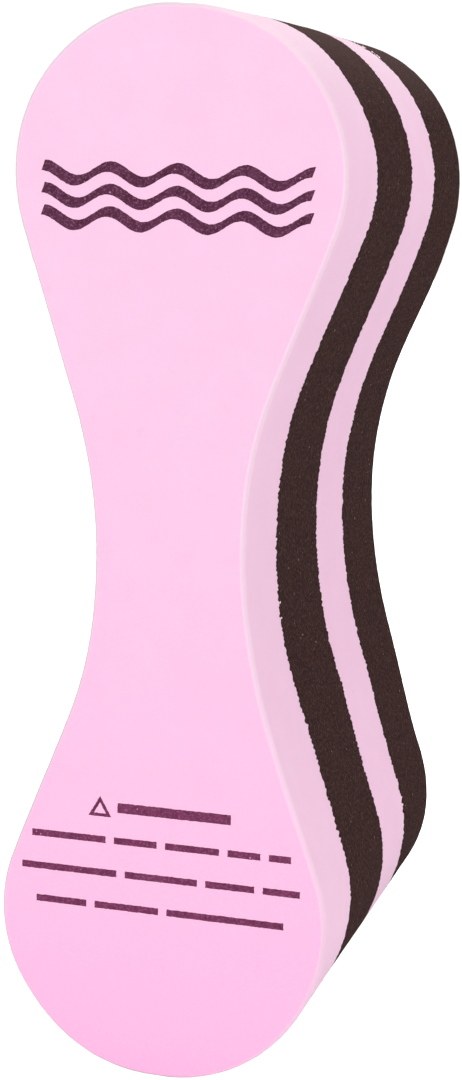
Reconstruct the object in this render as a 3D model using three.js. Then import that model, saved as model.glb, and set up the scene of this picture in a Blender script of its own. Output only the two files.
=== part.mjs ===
// Pull buoy: an hourglass block of closed-cell foam that a swimmer grips between the thighs.
// Four foam slabs are glued face to face, alternately pink and dark, then cut to one outline.
//
// Frame: millimetres, +Z up along the block's length, +X across its width, -Y out of the printed face.
// The origin is the centre of the block.

import * as THREE from "three";

// Outline of the block, seen along Y.
const LENGTH = 230;
const WIDTH = 72;
const WAIST = 32.6; // width at the middle
const LOBE_RADIUS = 34.75; // corner arcs of each end, with a short flat between them
const WAIST_RADIUS = 108; // hollow flanks that the thighs rest in

// Slabs and glue films along Y, from the printed face to the back.
const FRONT_PINK = 29;
const FRONT_DARK = 37;
const REAR_PINK = 27;
const REAR_DARK = 35.25;
const GLUE = 0.25;
const GLUE_INSET = 0.5; // the glue stops short of the cut edge
const DEPTH = FRONT_PINK + FRONT_DARK + REAR_PINK + REAR_DARK + 3 * GLUE;
const FRONT_Y = -DEPTH / 2;

// Rounding where the flanks meet the front and back faces: a quarter of an ellipse.
const EDGE_WIDTH = 1;
const EDGE_DEPTH = 1.7;
const EDGE_STEPS = 4;
const ARC_SEGMENTS = 8;

// Ink on the front face: a mark of three waves near the top, and a block of plain lines near the bottom.
const INK = 0.1;
const WAVE = { z: 75.4, halfSpan: 29, pitch: 4.6, stroke: 2.2, rise: 1.5, length: 14.5, steps: 48 };
const NOTICE = { headingZ: -55, pitch: 7.4, lineStroke: 1.5, headingStroke: 2.2 };
const TRIANGLE = { x: -13.7, side: 5.2, stroke: 0.7 };
const HEADING = { left: -9.7, right: 15.7 };
const LINE_HALF_SPANS = [29.2, 31.4, 28];

const pinkFoam = new THREE.MeshStandardMaterial({ color: 0xfdcbec, roughness: 0.8, metalness: 0 });
const darkFoam = new THREE.MeshStandardMaterial({ color: 0x3c2c2a, roughness: 0.9, metalness: 0 });
const glueFilm = new THREE.MeshStandardMaterial({ color: 0xe9e2d2, roughness: 0.5, metalness: 0 });
const plumInk = new THREE.MeshStandardMaterial({ color: 0x5f3550, roughness: 0.7, metalness: 0 });

const buoy = new THREE.Group();

// The closed outline in X and Z, moved inwards by inset. Every inset gives the same number of points.
function outline(inset) {
  const lobe = LOBE_RADIUS - inset;
  const hollow = WAIST_RADIUS + inset;
  const lobeX = WIDTH / 2 - LOBE_RADIUS;
  const lobeZ = LENGTH / 2 - LOBE_RADIUS;
  const hollowX = WAIST / 2 + WAIST_RADIUS;

  // The flank is the straight line that touches the lobe on one side and the hollow on the other.
  const toHollow = Math.atan2(-lobeZ, hollowX - lobeX);
  const between = Math.hypot(hollowX - lobeX, lobeZ);
  const turn = -(toHollow + Math.acos((LOBE_RADIUS + WAIST_RADIUS) / between));

  const quarter = Math.PI / 2;
  const shape = new THREE.Shape();
  shape.absarc(lobeX, lobeZ, lobe, -turn, 0, false);
  shape.absarc(lobeX, lobeZ, lobe, 0, quarter, false);
  shape.absarc(-lobeX, lobeZ, lobe, quarter, 2 * quarter, false);
  shape.absarc(-lobeX, lobeZ, lobe, 2 * quarter, 2 * quarter + turn, false);
  shape.absarc(-hollowX, 0, hollow, turn, -turn, true);
  shape.absarc(-lobeX, -lobeZ, lobe, 2 * quarter - turn, 2 * quarter, false);
  shape.absarc(-lobeX, -lobeZ, lobe, 2 * quarter, 3 * quarter, false);
  shape.absarc(lobeX, -lobeZ, lobe, 3 * quarter, 4 * quarter, false);
  shape.absarc(lobeX, -lobeZ, lobe, 0, turn, false);
  shape.absarc(hollowX, 0, hollow, 2 * quarter + turn, 2 * quarter - turn, true);
  return shape.getPoints(ARC_SEGMENTS);
}

// A slab through levels of { y, inset }, given from the front to the back, closed by a flat cap at each end.
function slabGeometry(levels) {
  const rings = levels.map((level) => outline(level.inset));
  const count = rings[0].length;
  const positions = rings.flatMap((ring, i) => ring.flatMap((p) => [p.x, levels[i].y, p.y]));
  const index = [];

  for (let ring = 0; ring + 1 < rings.length; ring++) {
    for (let k = 0; k < count; k++) {
      const a = ring * count + k;
      const b = ring * count + ((k + 1) % count);
      index.push(a, a + count, b + count, a, b + count, b);
    }
  }
  const last = (rings.length - 1) * count;
  for (const [a, b, c] of THREE.ShapeUtils.triangulateShape(rings[0], [])) {
    index.push(a, b, c);
    index.push(last + a, last + c, last + b);
  }
  const geometry = new THREE.BufferGeometry();
  geometry.setAttribute("position", new THREE.Float32BufferAttribute(positions, 3));
  geometry.setIndex(index);
  geometry.computeVertexNormals();
  return geometry;
}

// Levels of a rounded edge. towards is 1 for an edge that rounds in to the front, -1 for the back.
function roundedEdge(faceY, towards) {
  const levels = [];
  for (let i = 0; i <= EDGE_STEPS; i++) {
    const angle = (i / EDGE_STEPS) * (Math.PI / 2);
    levels.push({
      y: faceY + towards * EDGE_DEPTH * (1 - Math.cos(angle)),
      inset: EDGE_WIDTH * (1 - Math.sin(angle)),
    });
  }
  return towards > 0 ? levels : levels.reverse();
}

// The two levels of a sheet with square edges.
function plainLevels(y, thickness, inset) {
  return [
    { y, inset },
    { y: y + thickness, inset },
  ];
}

function addSlab(name, levels, material) {
  const mesh = new THREE.Mesh(slabGeometry(levels), material);
  mesh.name = name;
  buoy.add(mesh);
}

// A flat print standing on the front face. Its shape is drawn in X and Z.
function addPrint(name, shape) {
  const geometry = new THREE.ExtrudeGeometry(shape, { depth: INK, bevelEnabled: false });
  const mesh = new THREE.Mesh(geometry, plumInk);
  mesh.name = name;
  mesh.rotation.x = Math.PI / 2;
  mesh.position.y = FRONT_Y;
  buoy.add(mesh);
}

// A stroke of even height that follows a wave, with a crest at each end.
function waveStroke(z) {
  const upper = [];
  const lower = [];
  for (let i = 0; i <= WAVE.steps; i++) {
    const x = WAVE.halfSpan * ((2 * i) / WAVE.steps - 1);
    const middle = z + WAVE.rise * Math.cos((2 * Math.PI * x) / WAVE.length);
    upper.push(new THREE.Vector2(x, middle + WAVE.stroke / 2));
    lower.push(new THREE.Vector2(x, middle - WAVE.stroke / 2));
  }
  return new THREE.Shape([...lower, ...upper.reverse()]);
}

function bar(left, right, z, stroke) {
  const shape = new THREE.Shape();
  shape.moveTo(left, z - stroke / 2);
  shape.lineTo(right, z - stroke / 2);
  shape.lineTo(right, z + stroke / 2);
  shape.lineTo(left, z + stroke / 2);
  return shape;
}

// Corners of an upright triangle of equal sides, all at one distance from its centre.
function triangleCorners(x, z, reach) {
  return [210, 330, 90].map((degrees) => {
    const angle = THREE.MathUtils.degToRad(degrees);
    return new THREE.Vector2(x + reach * Math.cos(angle), z + reach * Math.sin(angle));
  });
}

// A triangle drawn as an even line.
function triangle(x, z, side, stroke) {
  const reach = side / Math.sqrt(3);
  const centreZ = z - reach / 4; // puts the middle of the triangle's height at z
  const shape = new THREE.Shape(triangleCorners(x, centreZ, reach));
  shape.holes.push(new THREE.Path(triangleCorners(x, centreZ, reach - 2 * stroke)));
  return shape;
}

// Slabs and glue, from front to back.
const frontJoint = FRONT_Y + FRONT_PINK;
const middleJoint = frontJoint + GLUE + FRONT_DARK;
const rearJoint = middleJoint + GLUE + REAR_PINK;
const backY = rearJoint + GLUE + REAR_DARK;

addSlab("front_pink_layer", [...roundedEdge(FRONT_Y, 1), { y: frontJoint, inset: 0 }], pinkFoam);
addSlab("front_glue_film", plainLevels(frontJoint, GLUE, GLUE_INSET), glueFilm);
addSlab("front_dark_layer", plainLevels(frontJoint + GLUE, FRONT_DARK, 0), darkFoam);
addSlab("middle_glue_film", plainLevels(middleJoint, GLUE, GLUE_INSET), glueFilm);
addSlab("rear_pink_layer", plainLevels(middleJoint + GLUE, REAR_PINK, 0), pinkFoam);
addSlab("rear_glue_film", plainLevels(rearJoint, GLUE, GLUE_INSET), glueFilm);
addSlab("rear_dark_layer", [{ y: rearJoint + GLUE, inset: 0 }, ...roundedEdge(backY, -1)], darkFoam);

// Prints on the front face.
addPrint("print_wave_upper", waveStroke(WAVE.z + WAVE.pitch));
addPrint("print_wave_middle", waveStroke(WAVE.z));
addPrint("print_wave_lower", waveStroke(WAVE.z - WAVE.pitch));
addPrint(
  "print_notice_triangle",
  triangle(TRIANGLE.x, NOTICE.headingZ, TRIANGLE.side, TRIANGLE.stroke),
);
addPrint(
  "print_notice_heading",
  bar(HEADING.left, HEADING.right, NOTICE.headingZ, NOTICE.headingStroke),
);
LINE_HALF_SPANS.forEach((halfSpan, i) => {
  const z = NOTICE.headingZ - NOTICE.pitch * (i + 1);
  addPrint(`print_notice_line_${i + 1}`, bar(-halfSpan, halfSpan, z, NOTICE.lineStroke));
});

export default buoy;
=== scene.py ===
"""Pull buoy: four glued slabs of closed-cell foam with ink printed on the front face.

Metres, in the CAD frame: +Z up the block's length, -Y out of the printed face.
"""

import math

import bmesh
import bpy
import numpy as np
from mathutils import Matrix, Vector, geometry, noise

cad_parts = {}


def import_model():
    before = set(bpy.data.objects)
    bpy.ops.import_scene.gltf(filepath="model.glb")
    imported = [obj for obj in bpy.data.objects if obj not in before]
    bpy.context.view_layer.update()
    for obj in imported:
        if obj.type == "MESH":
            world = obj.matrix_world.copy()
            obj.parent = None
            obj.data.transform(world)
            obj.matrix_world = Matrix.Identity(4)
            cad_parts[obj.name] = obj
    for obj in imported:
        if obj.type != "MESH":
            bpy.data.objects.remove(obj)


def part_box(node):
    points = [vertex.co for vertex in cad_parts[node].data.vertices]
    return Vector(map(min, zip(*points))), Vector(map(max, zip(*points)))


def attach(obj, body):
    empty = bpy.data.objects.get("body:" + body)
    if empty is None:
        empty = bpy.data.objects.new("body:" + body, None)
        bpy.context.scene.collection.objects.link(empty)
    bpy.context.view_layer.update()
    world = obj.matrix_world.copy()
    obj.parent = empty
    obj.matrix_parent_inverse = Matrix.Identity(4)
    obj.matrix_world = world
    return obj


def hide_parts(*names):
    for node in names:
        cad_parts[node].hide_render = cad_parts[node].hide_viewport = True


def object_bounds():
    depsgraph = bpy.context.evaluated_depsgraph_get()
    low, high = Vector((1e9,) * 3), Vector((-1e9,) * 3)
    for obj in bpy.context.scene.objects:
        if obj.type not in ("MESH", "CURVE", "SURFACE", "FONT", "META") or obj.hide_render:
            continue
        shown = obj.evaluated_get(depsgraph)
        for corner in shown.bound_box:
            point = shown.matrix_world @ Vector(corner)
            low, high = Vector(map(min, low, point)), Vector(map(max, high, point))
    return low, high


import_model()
CAD_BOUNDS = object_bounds()

MM = 0.001
SEED = 7

# The block's outline, seen along Y. The CAD outline has the same arcs.
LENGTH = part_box("front_dark_layer")[1].z * 2
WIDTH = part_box("front_dark_layer")[1].x * 2
WAIST = 32.6 * MM
LOBE_RADIUS = 34.75 * MM
WAIST_RADIUS = 108 * MM
FACE_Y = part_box("front_pink_layer")[0].y
BACK_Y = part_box("rear_dark_layer")[1].y
# The rounded front and back edges: how far they reach in from the flank, and down it.
EDGE_WIDTH = 1 * MM
EDGE_DEPTH = 1.7 * MM

# Points around the outline, and the spacing of those inside a slab's flat end.
RING_POINTS = 1800
CAP_SPACING = 2.5 * MM

# Where the saw strayed along X from the true outline: (height, reach, stray), in millimetres.
# On the right the stray changes evenly from the printed face to the first joint, and on to the back.
RIGHT_STRAY_AT_FACE = [(100, 12, -0.3), (34, 26, -0.9), (-24, 22, 1.1), (-66, 20, 1.4), (-10, 80, 0.4)]
RIGHT_STRAY_AT_JOINT = [(100, 12, -0.6), (34, 26, -1.3), (-42, 34, 0.65)]
RIGHT_STRAY_AT_BACK = [(106, 10, 0.5), (58, 17, 1.4), (-18, 22, 0.5), (-68, 20, -1.7)]
LEFT_STRAY = [(77, 18, 0.35), (32, 22, -0.5), (-28, 28, 0.65), (-68, 16, -0.5), (-104, 10, 0.8)]

# Over the right of the crown the saw ran low at the printed face and high behind it. The strays along Z
# are for the face, the first two joints and the back, in millimetres.
CROWN_STRAY = (-0.6, 0.35, 0.8, 0.6)

# How fast the ragged line between two slabs fades out along the flank.
CUT_FADE = 3 * MM

# One place on the rear joint where the foam tore away from the glue, and how far it reaches.
TORN_SPOT = Vector((18 * MM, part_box("rear_glue_film")[0].y, 111 * MM))
TORN_REACH = 6 * MM

# Ink: how far it stands out of the face and reaches into it, and the shapes inside the CAD boxes.
INK_RISE = 0.06 * MM
INK_ROOT = 0.2 * MM
WAVE_COUNT = 4
WAVE_RISE_SHARE = 1.5 / 5.2  # a wave's rise as a share of its CAD node's height
TRIANGLE_STROKE = 0.7 * MM
WORD_GAP = 1.9 * MM
WORD_SHARES = ([7, 4, 5, 3, 2], [8, 6, 4, 3], [4, 5, 9])


# --- Outline -------------------------------------------------------------------------------------


def right_flank():
    """The right side from bottom to top: close points in X and Z, and their outward normals."""
    lobe_x = WIDTH / 2 - LOBE_RADIUS
    lobe_z = LENGTH / 2 - LOBE_RADIUS
    hollow_x = WAIST / 2 + WAIST_RADIUS
    reach = math.hypot(hollow_x - lobe_x, lobe_z)
    turn = math.atan2(lobe_z, hollow_x - lobe_x) - math.acos((LOBE_RADIUS + WAIST_RADIUS) / reach)

    def arc(x, z, radius, start, end, side):
        angle = np.linspace(start, end, 500)
        direction = np.stack([np.cos(angle), np.sin(angle)], axis=1)
        return np.array([x, z]) + radius * direction, side * direction

    arcs = [
        arc(lobe_x, -lobe_z, LOBE_RADIUS, -math.pi / 2, turn, 1),
        arc(hollow_x, 0, WAIST_RADIUS, math.pi + turn, math.pi - turn, -1),
        arc(lobe_x, lobe_z, LOBE_RADIUS, -turn, math.pi / 2, 1),
    ]
    return np.concatenate([a[0] for a in arcs]), np.concatenate([a[1] for a in arcs])


def outline(count):
    """The closed outline, anticlockwise seen from the front: evenly spaced points and outward normals."""
    points, normals = right_flank()
    mirror = np.array([-1, 1])
    loop = np.concatenate([points, points[::-1] * mirror, points[:1]])
    directions = np.concatenate([normals, normals[::-1] * mirror, normals[:1]])
    travelled = np.concatenate([[0], np.cumsum(np.linalg.norm(np.diff(loop, axis=0), axis=1))])
    wanted = np.linspace(0, travelled[-1], count, endpoint=False)
    even = [np.interp(wanted, travelled, column) for column in (*loop.T, *directions.T)]
    return np.stack(even[:2], axis=1), np.stack(even[2:], axis=1)


def at_depth(flat, y):
    """Points given in X and Z, placed at one depth along Y."""
    return np.column_stack([flat[:, 0], np.full(len(flat), y), flat[:, 1]])


def join_y(node):
    """The middle of a glue film along Y."""
    low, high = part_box(node)
    return (low.y + high.y) / 2


# --- Foam slabs ----------------------------------------------------------------------------------


def noise_at(points, size, seed=0):
    """Smooth noise between about -1 and 1 at each point, with blobs of the given size."""
    shift = Vector((seed * 17.3, seed * 5.1, seed * 9.7))
    return np.array([noise.noise(Vector(p) / size + shift) for p in points])


def bumps(height, shapes):
    """The sum of smooth bumps along Z. Each is (middle, reach, size), in millimetres."""
    total = np.zeros(len(height))
    for middle, reach, size in shapes:
        total += size * MM * np.exp(-(((height / MM - middle) / reach) ** 2))
    return total


def saw_stray(points):
    """How far the saw strayed from the true outline at each point of the flank, along X, Y and Z."""
    across, depth, height = points.T
    joint_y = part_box("front_glue_film")[0].y
    middle_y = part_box("middle_glue_film")[0].y
    face = bumps(height, RIGHT_STRAY_AT_FACE)
    joint = bumps(height, RIGHT_STRAY_AT_JOINT)
    back = bumps(height, RIGHT_STRAY_AT_BACK)
    to_face = np.clip((joint_y - depth) / (joint_y - FACE_Y), 0, 1)
    to_back = np.clip((depth - joint_y) / (BACK_Y - joint_y), 0, 1)
    right = joint + (face - joint) * to_face + (back - joint) * to_back
    sideways = np.where(across > 0, right, bumps(height, LEFT_STRAY))

    right_share = np.clip((across + 5 * MM) / (20 * MM), 0, 1)
    crown_share = np.clip((height - 90 * MM) / (20 * MM), 0, 1)
    crown = np.interp(depth, (FACE_Y, joint_y, middle_y, BACK_Y), CROWN_STRAY) * MM
    upwards = right_share * crown_share * crown
    return np.column_stack([sideways, np.zeros(len(points)), upwards])


def cut_line(line, y):
    """How far the torn line between two slabs strays along Y at each outline point."""
    points = at_depth(line, y)
    patches = np.clip(noise_at(points, 14 * MM, 3), 0, 1)
    torn = np.exp(-((np.linalg.norm(points - np.array(TORN_SPOT), axis=1) / TORN_REACH) ** 2))
    fine = noise_at(points, 0.6 * MM, 1) + 0.35 * noise_at(points, 2.2 * MM, 2)
    slow = noise_at(points, 22 * MM, 4)
    return (1.3 + 0.6 * patches + 1.4 * torn) * MM * fine + 0.4 * MM * slow


def flank_swell(points, seed):
    """How far the cut flank stands out or in: a slow wave of the saw and a finer foam texture."""
    saw = 0.22 * MM * noise_at(points * np.array([1, 0.3, 1]), 24 * MM, 5)
    foam = 0.05 * MM * noise_at(points, 1.6 * MM, seed)
    return saw + foam


def face_dimples(points):
    """How far the printed face strays from flat."""
    return 0.09 * MM * noise_at(points, 26 * MM, 8) + 0.02 * MM * noise_at(points, 6 * MM, 9)


def end_levels(rounded):
    """Distances from a slab's end along Y, with the inset there, out to where the plain flank starts."""
    if rounded:
        angles = np.linspace(0, math.pi / 2, 9)
        edge = [(EDGE_DEPTH * (1 - math.cos(a)), EDGE_WIDTH * (1 - math.sin(a))) for a in angles]
        return [(0, EDGE_WIDTH + 0.3 * MM)] + edge
    return [(0, 0.06 * MM), (0.25 * MM, 0), (0.8 * MM, 0), (1.8 * MM, 0), (3.2 * MM, 0)]


def slab_levels(front, back, front_rounded, back_rounded):
    """(y, inset) from the front of a slab to its back."""
    head = [(front + d, inset) for d, inset in end_levels(front_rounded)]
    tail = [(back - d, inset) for d, inset in reversed(end_levels(back_rounded))]
    start, end = head[-1][0], tail[0][0]
    steps = round((end - start) / (1.8 * MM))
    middle = [(start + (end - start) * i / steps, 0) for i in range(1, steps)]
    return head + middle + tail


def end_cap(ring, spacing):
    """Points spread inside a ring in X and Z, and triangles over both. Triangles number the ring first."""
    flank, _ = right_flank()
    row_height = spacing * math.sqrt(3) / 2
    inside = []
    for row, z in enumerate(np.arange(-LENGTH / 2 + spacing, LENGTH / 2 - spacing / 2, row_height)):
        reach = np.interp(z, flank[:, 1], flank[:, 0]) - EDGE_WIDTH - spacing
        shift = spacing / 2 * (row % 2)
        across = np.arange(-WIDTH / 2 + shift, WIDTH / 2, spacing)
        inside += [(x, z) for x in across if abs(x) < reach]
    points = [Vector(p) / MM for p in ring] + [Vector(p) / MM for p in inside]
    border = [(k, (k + 1) % len(ring)) for k in range(len(ring))]
    _, _, triangles, sources, _, _ = geometry.delaunay_2d_cdt(points, border, [], 1, 1e-6)
    return np.array(inside), [[sources[v][0] for v in triangle] for triangle in triangles]


def closed_block(rings, spacing):
    """Vertices and faces of a block whose flank runs through rings, front to back, with a cap at each end."""
    levels, size, _ = rings.shape
    faces = []
    for level in range(levels - 1):
        for k in range(size):
            a = level * size + k
            b = level * size + (k + 1) % size
            faces.append((a, a + size, b + size, b))
    vertices = [rings.reshape(-1, 3)]
    for level, turned in ((0, False), (levels - 1, True)):
        ring = rings[level]
        inside, triangles = end_cap(ring[:, [0, 2]], spacing)
        first_inside = sum(len(v) for v in vertices)
        for triangle in triangles:
            face = [level * size + v if v < size else first_inside + v - size for v in triangle]
            faces.append(tuple(reversed(face)) if turned else tuple(face))
        depth = np.full(len(inside), np.median(ring[:, 1]))
        vertices.append(np.column_stack([inside[:, 0], depth, inside[:, 1]]))
    return np.concatenate(vertices), faces


def new_piece(name, vertices, faces, material, node):
    """A smooth-shaded mesh that stands for one CAD node."""
    mesh = bpy.data.meshes.new(name)
    mesh.from_pydata([tuple(v) for v in vertices], [], faces)
    mesh.polygons.foreach_set("use_smooth", [True] * len(mesh.polygons))
    mesh.materials.append(material)
    mesh.validate()
    piece = bpy.data.objects.new(name, mesh)
    bpy.context.scene.collection.objects.link(piece)
    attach(piece, "root")
    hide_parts(node)
    return piece


def foam_slab(name, node, material, front, back, seed):
    """One foam slab between two torn glue lines. front and back are (y, rounded)."""
    line, normals = outline(RING_POINTS)
    levels = slab_levels(front[0], back[0], front[1], back[1])
    front_cut = 0 if front[1] else cut_line(line, front[0])
    back_cut = 0 if back[1] else cut_line(line, back[0])
    rings = []
    for y, inset in levels:
        points = at_depth(line, y)
        out = flank_swell(points, seed) - inset
        points[:, [0, 2]] += normals * out[:, None]
        points += saw_stray(points)
        points[:, 1] += front_cut * math.exp(-(y - front[0]) / CUT_FADE)
        points[:, 1] += back_cut * math.exp(-(back[0] - y) / CUT_FADE)
        rings.append(points)
    vertices, faces = closed_block(np.array(rings), CAP_SPACING)
    for end, rounded in (front, back):
        if rounded:
            near = np.clip(1 - abs(vertices[:, 1] - end) / EDGE_DEPTH, 0, 1)
            vertices[:, 1] += near * face_dimples(vertices)
    piece = new_piece(name, vertices, faces, material, node)
    mark_rounded_edge(piece, len(levels), front[1], back[1])
    return piece


def mark_rounded_edge(piece, levels, front_rounded, back_rounded):
    """A point value that is 1 on the rounded edges and 0 elsewhere, for the colours painted there: painted
    highlight and shade on the pink foam, and a lighter tone on the dark foam.
    """
    edge_band = np.zeros(len(piece.data.vertices), np.float32)
    steps = len(end_levels(True))
    # The first two levels lie on the flat face, and the last on the flank.
    for i in range(2, steps - 1):
        for level, rounded in ((i, front_rounded), (levels - 1 - i, back_rounded)):
            if rounded:
                edge_band[level * RING_POINTS : (level + 1) * RING_POINTS] = 1
    piece.data.attributes.new("rounded_edge_band", "FLOAT", "POINT").data.foreach_set("value", edge_band)


# --- Glue ----------------------------------------------------------------------------------------


def glue_film(name, node, material, seed):
    """A thin sheet of dried adhesive, with small beads of it squeezed out along the cut edge."""
    low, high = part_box(node)
    line, normals = outline(RING_POINTS // 3)
    rings = []
    for y in (low.y, high.y):
        points = at_depth(line, y)
        inset = (0.5 + 0.2 * noise_at(points, 3 * MM, seed)) * MM
        points[:, [0, 2]] -= normals * inset[:, None]
        points += saw_stray(points)
        rings.append(points)
    vertices, faces = closed_block(np.array(rings), 3 * CAP_SPACING)
    piece = new_piece(name, vertices, faces, material, node)
    add_beads(piece, join_y(node), seed)
    return piece


def add_beads(piece, y, seed):
    """Beads of adhesive just proud of the flank, on the torn line between two slabs."""
    rng = np.random.default_rng(SEED + seed)
    line, normals = outline(RING_POINTS)
    places = at_depth(line, y)
    places += saw_stray(places)
    places[:, 1] += cut_line(line, y)
    torn = np.linalg.norm(places - np.array(TORN_SPOT), axis=1)
    centres = list(rng.integers(0, len(line), 9))
    if torn.min() < TORN_REACH:
        centres += [torn.argmin()] * 6
    bm = bmesh.new()
    bm.from_mesh(piece.data)
    for centre in centres:
        for _ in range(rng.integers(1, 5)):
            k = (centre + rng.integers(-14, 15)) % len(line)
            size = rng.uniform(0.1, 0.28) * MM
            out = Vector((normals[k, 0], 0, normals[k, 1]))
            add_bead(bm, Vector(places[k]) + out * size * 0.3, out, size, rng)
    bm.to_mesh(piece.data)
    bm.free()
    piece.data.polygons.foreach_set("use_smooth", [True] * len(piece.data.polygons))


def add_bead(bm, place, out, size, rng):
    """One small lump, flattened against the flank and stretched along a random direction."""
    stretch = Matrix.Diagonal((rng.uniform(0.7, 1.8), rng.uniform(0.7, 1.2), 0.5, 1))
    turn = out.to_track_quat("Z", "Y").to_matrix().to_4x4()
    spin = Matrix.Rotation(rng.uniform(0, math.pi), 4, "Z")
    matrix = Matrix.Translation(place) @ turn @ spin @ stretch
    made = bmesh.ops.create_icosphere(bm, subdivisions=2, radius=size, matrix=matrix)
    for v in made["verts"]:
        v.co += (v.co - place) * 0.35 * noise.noise(v.co / (0.25 * MM))


# --- Print ---------------------------------------------------------------------------------------


def ink_strip(lower, upper, rows=7):
    """A thin closed strip of ink between two edges given in X and Z. Its own edges bleed a little."""
    share = np.linspace(0, 1, rows)[:, None, None]
    grid = lower[None] * (1 - share) + upper[None] * share
    flat = grid.reshape(-1, 2)
    at_face = at_depth(flat, FACE_Y)
    bleed = np.stack([noise_at(at_face, 0.5 * MM, 11), noise_at(at_face, 0.5 * MM, 12)], axis=1)
    border = np.zeros(grid.shape[:2], bool)
    border[[0, -1]] = True
    border[:, [0, -1]] = True
    at_face[:, [0, 2]] += 0.1 * MM * bleed * border.reshape(-1, 1)
    surface = FACE_Y + face_dimples(at_face)
    outer, inner = at_face.copy(), at_face.copy()
    outer[:, 1] = surface - INK_RISE * np.where(border.reshape(-1), 0.2, 1)
    inner[:, 1] = surface + INK_ROOT

    columns = len(lower)
    number = np.arange(rows * columns).reshape(rows, columns)
    faces = []
    for r in range(rows - 1):
        for c in range(columns - 1):
            quad = (number[r, c], number[r, c + 1], number[r + 1, c + 1], number[r + 1, c])
            faces.append(tuple(int(v) for v in quad))
            faces.append(tuple(int(v) + number.size for v in reversed(quad)))
    rim = np.concatenate([number[0], number[1:, -1], number[-1, -2::-1], number[-2:0:-1, 0]])
    for a, b in zip(rim, np.roll(rim, -1)):
        faces.append((int(a), int(a) + number.size, int(b) + number.size, int(b)))
    return np.concatenate([outer, inner]), faces


def print_piece(name, node, strips, material):
    """One printed piece made of one or more strips."""
    vertices, faces = [], []
    for strip_vertices, strip_faces in strips:
        start = sum(len(v) for v in vertices)
        vertices.append(strip_vertices)
        faces += [tuple(start + i for i in face) for face in strip_faces]
    return new_piece(name, np.concatenate(vertices), faces, material, node)


def along(left, right):
    """Close points along X, for the edges of a strip of ink."""
    return np.linspace(left, right, max(8, round((right - left) / (0.3 * MM))))


def wave(node):
    """A wave stroke that fills its CAD node's box, with a crest at each slanted end."""
    low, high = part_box(node)
    rise = (high.z - low.z) * WAVE_RISE_SHARE
    stroke = high.z - low.z - 2 * rise
    x = along(low.x, high.x)
    z = (low.z + high.z) / 2 + rise * np.cos(2 * math.pi * WAVE_COUNT * (x - low.x) / (high.x - low.x))
    slant = 0.35 * stroke
    lower = np.column_stack([x - slant / 2, z - stroke / 2])
    upper = np.column_stack([x + slant / 2, z + stroke / 2])
    return ink_strip(lower, upper)


def bar(left, right, bottom, top):
    """A plain bar of ink between four sides."""
    x = along(left, right)
    lower, upper = (np.column_stack([x, np.full(len(x), z)]) for z in (bottom, top))
    return ink_strip(lower, upper)


def triangle_sides(node, stroke):
    """The three mitred sides of a triangle drawn as a line, in its CAD node's box."""
    low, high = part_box(node)
    reach = (high.x - low.x) / math.sqrt(3)
    centre = np.array([(low.x + high.x) / 2, low.z + reach / 2])
    angles = np.radians([210, 330, 90, 210])
    corners = np.stack([np.cos(angles), np.sin(angles)], axis=1)
    share = np.linspace(0, 1, 16)[:, None]
    strips = []
    for start, end in zip(corners, corners[1:]):
        side = start * (1 - share) + end * share
        strips.append(ink_strip(centre + reach * side, centre + (reach - 2 * stroke) * side, rows=3))
    return strips


def word_bars(node, shares, gap):
    """Plain bars that fill a CAD node's box. shares are their relative lengths."""
    low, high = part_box(node)
    total = high.x - low.x - gap * (len(shares) - 1)
    left = low.x
    strips = []
    for share in shares:
        length = total * share / sum(shares)
        strips.append(bar(left, left + length, low.z, high.z))
        left += length + gap
    return strips


# --- Materials -----------------------------------------------------------------------------------


def srgb(red, green, blue):
    """A colour given as 0-255 screen values, in the linear values a shader takes."""
    parts = [c / 255 for c in (red, green, blue)]
    return [c / 12.92 if c <= 0.04045 else ((c + 0.055) / 1.055) ** 2.4 for c in parts] + [1]


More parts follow.
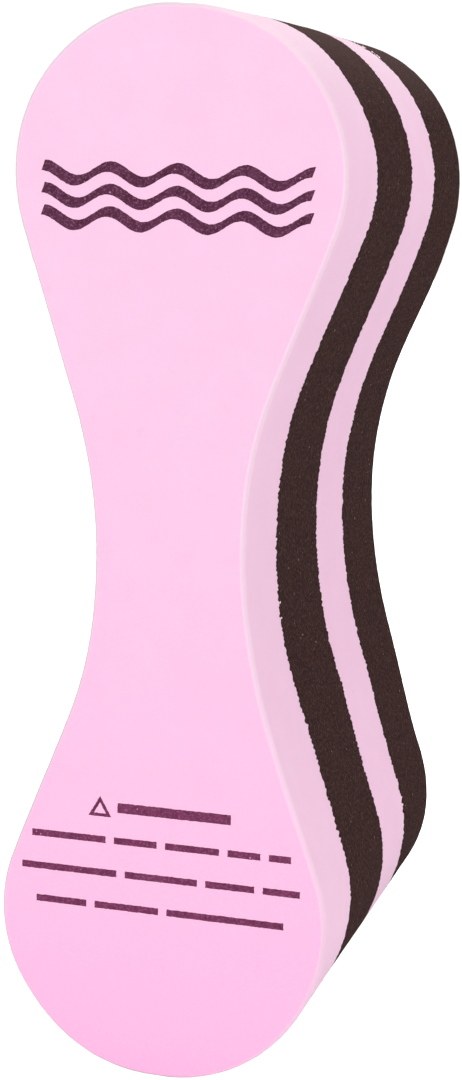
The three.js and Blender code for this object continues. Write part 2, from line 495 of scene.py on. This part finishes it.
class Shader:
    """A material's node tree, with short calls for the nodes used here."""

    def __init__(self, name):
        self.material = bpy.data.materials.new(name)
        self.material.use_nodes = True
        self.nodes = self.material.node_tree.nodes
        self.links = self.material.node_tree.links
        self.surface = self.nodes["Principled BSDF"]
        self.place = self.nodes.new("ShaderNodeTexCoord").outputs["Object"]

    def join(self, value, socket):
        if isinstance(value, bpy.types.NodeSocket):
            self.links.new(value, socket)
        else:
            socket.default_value = value

    def noise(self, size, detail=2.0, roughness=0.5):
        node = self.nodes.new("ShaderNodeTexNoise")
        node.inputs["Scale"].default_value = 1 / size
        node.inputs["Detail"].default_value = detail
        node.inputs["Roughness"].default_value = roughness
        self.join(self.place, node.inputs["Vector"])
        return node.outputs["Fac"]

    def cells(self, size, feature="F1"):
        node = self.nodes.new("ShaderNodeTexVoronoi")
        node.feature = feature
        node.inputs["Scale"].default_value = 1 / size
        self.join(self.place, node.inputs["Vector"])
        return node.outputs["Distance"]

    def spread(self, value, low, high, to_low=0.0, to_high=1.0):
        """value rescaled so that low..high becomes to_low..to_high, and held there outside."""
        node = self.nodes.new("ShaderNodeMapRange")
        for name, number in zip(
            ("Value", "From Min", "From Max", "To Min", "To Max"),
            (value, low, high, to_low, to_high),
        ):
            self.join(number, node.inputs[name])
        return node.outputs["Result"]

    def maths(self, operation, a, b):
        node = self.nodes.new("ShaderNodeMath")
        node.operation = operation
        self.join(a, node.inputs[0])
        self.join(b, node.inputs[1])
        return node.outputs["Value"]

    def mix(self, share, a, b):
        node = self.nodes.new("ShaderNodeMix")
        node.data_type = "RGBA"
        self.join(share, node.inputs["Factor"])
        self.join(a, node.inputs[6])
        self.join(b, node.inputs[7])
        return node.outputs[2]

    def axis(self, output, letter):
        """One axis of a texture coordinate, such as Object or Normal."""
        coordinates = self.nodes.new("ShaderNodeTexCoord")
        split = self.nodes.new("ShaderNodeSeparateXYZ")
        self.join(coordinates.outputs[output], split.inputs["Vector"])
        return split.outputs[letter]

    def attribute(self, name):
        node = self.nodes.new("ShaderNodeAttribute")
        node.attribute_name = name
        return node.outputs["Fac"]

    def bump(self, height, strength, depth):
        node = self.nodes.new("ShaderNodeBump")
        node.inputs["Strength"].default_value = strength
        node.inputs["Distance"].default_value = depth
        self.join(height, node.inputs["Height"])
        self.join(node.outputs["Normal"], self.surface.inputs["Normal"])

    def finish(self, colour, roughness, specular=0.3):
        self.join(colour, self.surface.inputs["Base Color"])
        self.join(roughness, self.surface.inputs["Roughness"])
        self.surface.inputs["Specular IOR Level"].default_value = specular
        return self.material


def pink_foam():
    """Soft pink closed-cell foam: faint mottling, fine cells, a painted shade that deepens the face towards
    its bottom, a painted sheen that greys up-facing surfaces, and a painted highlight and painted shade on
    the rounded edge.
    """
    s = Shader("pink_foam")
    patches = s.spread(s.noise(11 * MM, 4, 0.6), 0.3, 0.7)
    colour = s.mix(patches, srgb(239, 190, 219), srgb(242, 195, 223))
    # Painted shade: the printed face turns a deeper pink towards its bottom, where less light reaches it.
    colour = s.mix(painted_face_shade(s), colour, srgb(250, 181, 222))
    specks = s.spread(s.noise(0.35 * MM, 1), 0.35, 0.75, 0, 0.3)
    colour = s.mix(specks, colour, srgb(240, 199, 224))
    smudges = s.spread(s.noise(2.6 * MM, 2), 0.72, 0.8, 0, 0.3)
    colour = s.mix(smudges, colour, srgb(214, 170, 190))
    # Painted sheen: up-facing surfaces greyed as if lit from above. The same grey is painted shade on the
    # rounded edge.
    painted_grey = srgb(226, 208, 212)
    colour = s.mix(painted_top_sheen(s), colour, painted_grey)
    colour = painted_edge_light_and_shade(s, colour, painted_grey)
    height = s.maths("ADD", s.cells(0.42 * MM), s.maths("MULTIPLY", s.noise(2.4 * MM, 3), 1.5))
    s.bump(height, 0.18, 0.12 * MM)
    s.surface.inputs["Sheen Weight"].default_value = 0.25
    s.surface.inputs["Subsurface Weight"].default_value = 0.12
    s.surface.inputs["Subsurface Radius"].default_value = (1.0, 0.45, 0.7)
    s.surface.inputs["Subsurface Scale"].default_value = 1.5 * MM
    return s.finish(colour, s.spread(patches, 0, 1, 0.72, 0.85), 0.15)


def painted_edge_light_and_shade(s, colour, painted_grey):
    """colour, with a painted highlight on the rounded edge along the right, painted grey shade on it over the
    crown and the left, and a darker painted shade line on the left where the edge turns away.
    """
    across = s.axis("Object", "X")
    height = s.axis("Object", "Z")
    edge = s.attribute("rounded_edge_band")
    # Painted highlight along the right of the rounded edge. Painted grey shade over the crown and the left.
    highlight_share = s.maths("MULTIPLY", s.spread(across, 0, 14 * MM), s.spread(height, 106 * MM, 76 * MM))
    painted_edge_colour = s.mix(highlight_share, painted_grey, srgb(246, 224, 236))
    amount = s.spread(height, -70 * MM, 10 * MM, 0.3, 0.5)
    colour = s.mix(s.maths("MULTIPLY", edge, amount), colour, painted_edge_colour)
    # Painted shade: a darker line on the left, where the edge turns away from the face.
    left = s.spread(across, 12 * MM, -6 * MM)
    turned = s.spread(s.axis("Normal", "Y"), -0.985, -0.75, 0, 0.8)
    painted_shade_line = s.maths("MULTIPLY", edge, s.maths("MULTIPLY", left, turned))
    return s.mix(painted_shade_line, colour, srgb(202, 186, 194))


def painted_face_shade(s):
    """The share of painted shade on the printed face: 0 on the cut flanks and at the top of the face, rising
    to 1 at the face's bottom.
    """
    facing = s.axis("Normal", "Y")
    height = s.axis("Object", "Z")
    front = s.spread(facing, -0.9, -0.6, 1, 0)
    depth = s.spread(height, LENGTH / 2, -LENGTH / 2)
    return s.maths("MULTIPLY", front, s.maths("POWER", depth, 2))


def painted_top_sheen(s):
    """The share of painted sheen that greys the foam as if lit from above: 0 on upright surfaces, rising to
    0.3 on the crown.
    """
    return s.spread(s.axis("Normal", "Z"), 0.4, 0.9, 0, 0.3)


def dark_foam():
    """Dark brown-black foam whose opened cells catch the light as fine speckle."""
    s = Shader("dark_foam")
    patches = s.spread(s.noise(6 * MM, 4, 0.65), 0.3, 0.7)
    colour = s.mix(patches, srgb(47, 30, 30), srgb(55, 37, 36))
    grain = s.spread(s.noise(0.7 * MM, 3, 0.8), 0.47, 0.66)
    colour = s.mix(grain, colour, srgb(84, 62, 57))
    # Painted shade: the cut cells darkened in their hollows.
    painted_cell_shade = s.spread(s.cells(0.8 * MM), 0.0, 0.3, 0.6, 0)
    colour = s.mix(painted_cell_shade, colour, srgb(28, 15, 15))
    motes = s.spread(s.noise(0.9 * MM, 0), 0.845, 0.87, 0, 0.8)
    colour = s.mix(motes, colour, srgb(150, 126, 118))
    # Painted sheen: up-facing surfaces lighter as if lit from above.
    colour = s.mix(painted_top_sheen(s), colour, srgb(108, 88, 86))
    # Lighter on the rounded back edge.
    colour = s.mix(s.maths("MULTIPLY", s.attribute("rounded_edge_band"), 0.4), colour, srgb(84, 66, 62))
    height = s.maths("ADD", s.cells(0.5 * MM), s.noise(0.3 * MM, 2))
    s.bump(height, 0.5, 0.15 * MM)
    return s.finish(colour, s.spread(patches, 0, 1, 0.9, 1.0), 0.02)


def adhesive():
    """Dried contact adhesive, off-white and slightly shiny."""
    s = Shader("adhesive")
    clouded = s.spread(s.noise(0.4 * MM, 3), 0.3, 0.7)
    colour = s.mix(clouded, srgb(246, 232, 236), srgb(255, 248, 250))
    s.bump(s.noise(0.2 * MM, 2), 0.3, 0.05 * MM)
    return s.finish(colour, s.spread(clouded, 0, 1, 0.35, 0.55), 0.5)


def print_ink(name, dark, light):
    """Ink rolled onto foam, thin over the cells so that pink shows through in fine specks."""
    s = Shader(name)
    uneven = s.spread(s.noise(1.6 * MM, 3, 0.6), 0.3, 0.7)
    colour = s.mix(uneven, dark, light)
    thin = s.spread(s.noise(0.5 * MM, 2, 0.65), 0.5, 0.76)
    colour = s.mix(s.maths("MULTIPLY", thin, 0.4), colour, srgb(180, 120, 158))
    holes = s.spread(s.noise(0.5 * MM, 0), 0.83, 0.87)
    colour = s.mix(holes, colour, srgb(226, 174, 208))
    s.bump(s.cells(0.42 * MM), 0.25, 0.1 * MM)
    return s.finish(colour, s.spread(uneven, 0, 1, 0.65, 0.8), 0.1)


# --- Stage ---------------------------------------------------------------------------------------


def floor():
    """A pale floor. It glows for the camera alone, which leaves no more than a trace of shadow on it."""
    mesh = bpy.data.meshes.new("floor")
    half = 4
    z = CAD_BOUNDS[0][2]
    corners = [(-half, -half, z), (half, -half, z), (half, half, z), (-half, half, z)]
    mesh.from_pydata(corners, [], [(0, 1, 2, 3)])
    s = Shader("floor")
    shade = s.spread(s.noise(400 * MM, 2), 0.3, 0.7)
    seen = s.nodes.new("ShaderNodeLightPath").outputs["Is Camera Ray"]
    s.surface.inputs["Emission Color"].default_value = (1, 1, 1, 1)
    s.join(seen, s.surface.inputs["Emission Strength"])
    mesh.materials.append(s.finish(s.mix(shade, (0.93, 0.93, 0.93, 1), (0.95, 0.95, 0.95, 1)), 0.9, 0))
    plane = bpy.data.objects.new("floor", mesh)
    bpy.context.scene.collection.objects.link(plane)


def world(fill):
    """Even white surroundings, seen by the camera as plain white."""
    surroundings = bpy.data.worlds.new("studio")
    surroundings.use_nodes = True
    nodes = surroundings.node_tree.nodes
    links = surroundings.node_tree.links
    light = nodes["Background"]
    light.inputs["Color"].default_value = (1, 1, 1, 1)
    light.inputs["Strength"].default_value = fill
    seen = nodes.new("ShaderNodeBackground")
    seen.inputs["Color"].default_value = (1, 1, 1, 1)
    seen.inputs["Strength"].default_value = 1.05
    path = nodes.new("ShaderNodeLightPath")
    choose = nodes.new("ShaderNodeMixShader")
    links.new(path.outputs["Is Camera Ray"], choose.inputs["Fac"])
    links.new(light.outputs["Background"], choose.inputs[1])
    links.new(seen.outputs["Background"], choose.inputs[2])
    links.new(choose.outputs["Shader"], nodes["World Output"].inputs["Surface"])
    bpy.context.scene.world = surroundings


def softbox(name, place, target, size, power):
    data = bpy.data.lights.new(name, "AREA")
    data.shape = "DISK"
    data.size = size
    data.energy = power
    lamp = bpy.data.objects.new(name, data)
    lamp.location = place
    lamp.rotation_euler = (Vector(target) - Vector(place)).to_track_quat("-Z", "Y").to_euler()
    bpy.context.scene.collection.objects.link(lamp)


def camera():
    """Looks at the printed face from the right and a little above, tilted slightly."""
    yaw, pitch, roll = (math.radians(a) for a in (15.53, -9.32, 1.69))
    data = bpy.data.cameras.new("camera")
    data.lens = 73.8
    data.sensor_width = 36
    eye = bpy.data.objects.new("camera", data)
    eye.rotation_mode = "XYZ"
    aim = Matrix.Rotation(yaw, 4, "Z") @ Matrix.Rotation(math.pi / 2 + pitch, 4, "X")
    tilt = Matrix.Rotation(roll, 4, "Z")
    eye.matrix_world = Matrix.Translation((136.0 * MM, FACE_Y - 439.3 * MM, 80.2 * MM)) @ aim @ tilt
    bpy.context.scene.collection.objects.link(eye)
    bpy.context.scene.camera = eye


# --- Assembly ------------------------------------------------------------------------------------


def build_foam():
    pink, dark = pink_foam(), dark_foam()
    first, second, third = (join_y(f"{place}_glue_film") for place in ("front", "middle", "rear"))
    foam_slab("front_pink_foam", "front_pink_layer", pink, (FACE_Y, True), (first, False), 21)
    foam_slab("front_dark_foam", "front_dark_layer", dark, (first, False), (second, False), 22)
    foam_slab("rear_pink_foam", "rear_pink_layer", pink, (second, False), (third, False), 23)
    foam_slab("rear_dark_foam", "rear_dark_layer", dark, (third, False), (BACK_Y, True), 24)


def build_glue():
    material = adhesive()
    for seed, place in enumerate(("front", "middle", "rear")):
        glue_film(f"{place}_glue", f"{place}_glue_film", material, seed)


def build_print():
    bold = print_ink("mark_ink", srgb(68, 28, 50), srgb(92, 46, 72))
    fine = print_ink("notice_ink", srgb(96, 38, 70), srgb(120, 54, 92))
    for place in ("upper", "middle", "lower"):
        node = f"print_wave_{place}"
        print_piece(f"wave_mark_{place}", node, [wave(node)], bold)
    node = "print_notice_triangle"
    print_piece("notice_triangle", node, triangle_sides(node, TRIANGLE_STROKE), fine)
    node = "print_notice_heading"
    print_piece("notice_heading", node, word_bars(node, [1], 0), fine)
    for i, shares in enumerate(WORD_SHARES, start=1):
        node = f"print_notice_line_{i}"
        print_piece(f"notice_row_{i}", node, word_bars(node, shares, WORD_GAP), fine)


def build_stage():
    floor()
    world(0.74)
    softbox("key", (-0.5, -1.2, 1.0), (0, 0, 0.08), 0.9, 9.4)
    softbox("side", (1.4, -0.5, 0.1), (0, 0, 0), 1.0, 2.6)
    softbox("top", (0.35, 0.2, 1.4), (0, 0, 0), 1.0, 4.6)
    bpy.context.scene.view_settings.view_transform = "Standard"
    camera()


build_foam()
build_glue()
build_print()
build_stage()
